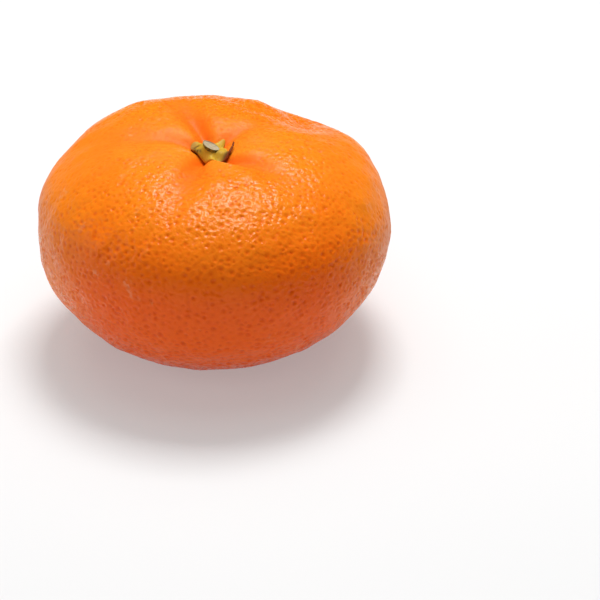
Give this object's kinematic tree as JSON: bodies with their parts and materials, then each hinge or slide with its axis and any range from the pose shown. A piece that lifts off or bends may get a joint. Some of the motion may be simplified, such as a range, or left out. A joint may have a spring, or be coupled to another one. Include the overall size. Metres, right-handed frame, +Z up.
{
  "type": "mandarin",
  "caption": "Whole mandarin in its peel: a squat, slightly lopsided fruit with furrows round the stem, a star-shaped calyx and a short cut stub.",
  "frame": {"origin": "under the middle of the fruit, on the surface that it rests on", "axes": "+Z up, from the blossom end to the stem; -Y towards the viewer of the picture; +X to the right"},
  "size_m": [0.0744, 0.073, 0.0466],
  "materials": {
    "peel": null,
    "calyx_green": null,
    "stem_wood": "pale cut twig, dull, with a dark green bark ring"
  },
  "bodies": {
    "root": {"fruit": "peel", "calyx": "calyx_green", "stem_stub": "stem_wood"}
  },
  "joints": []
}
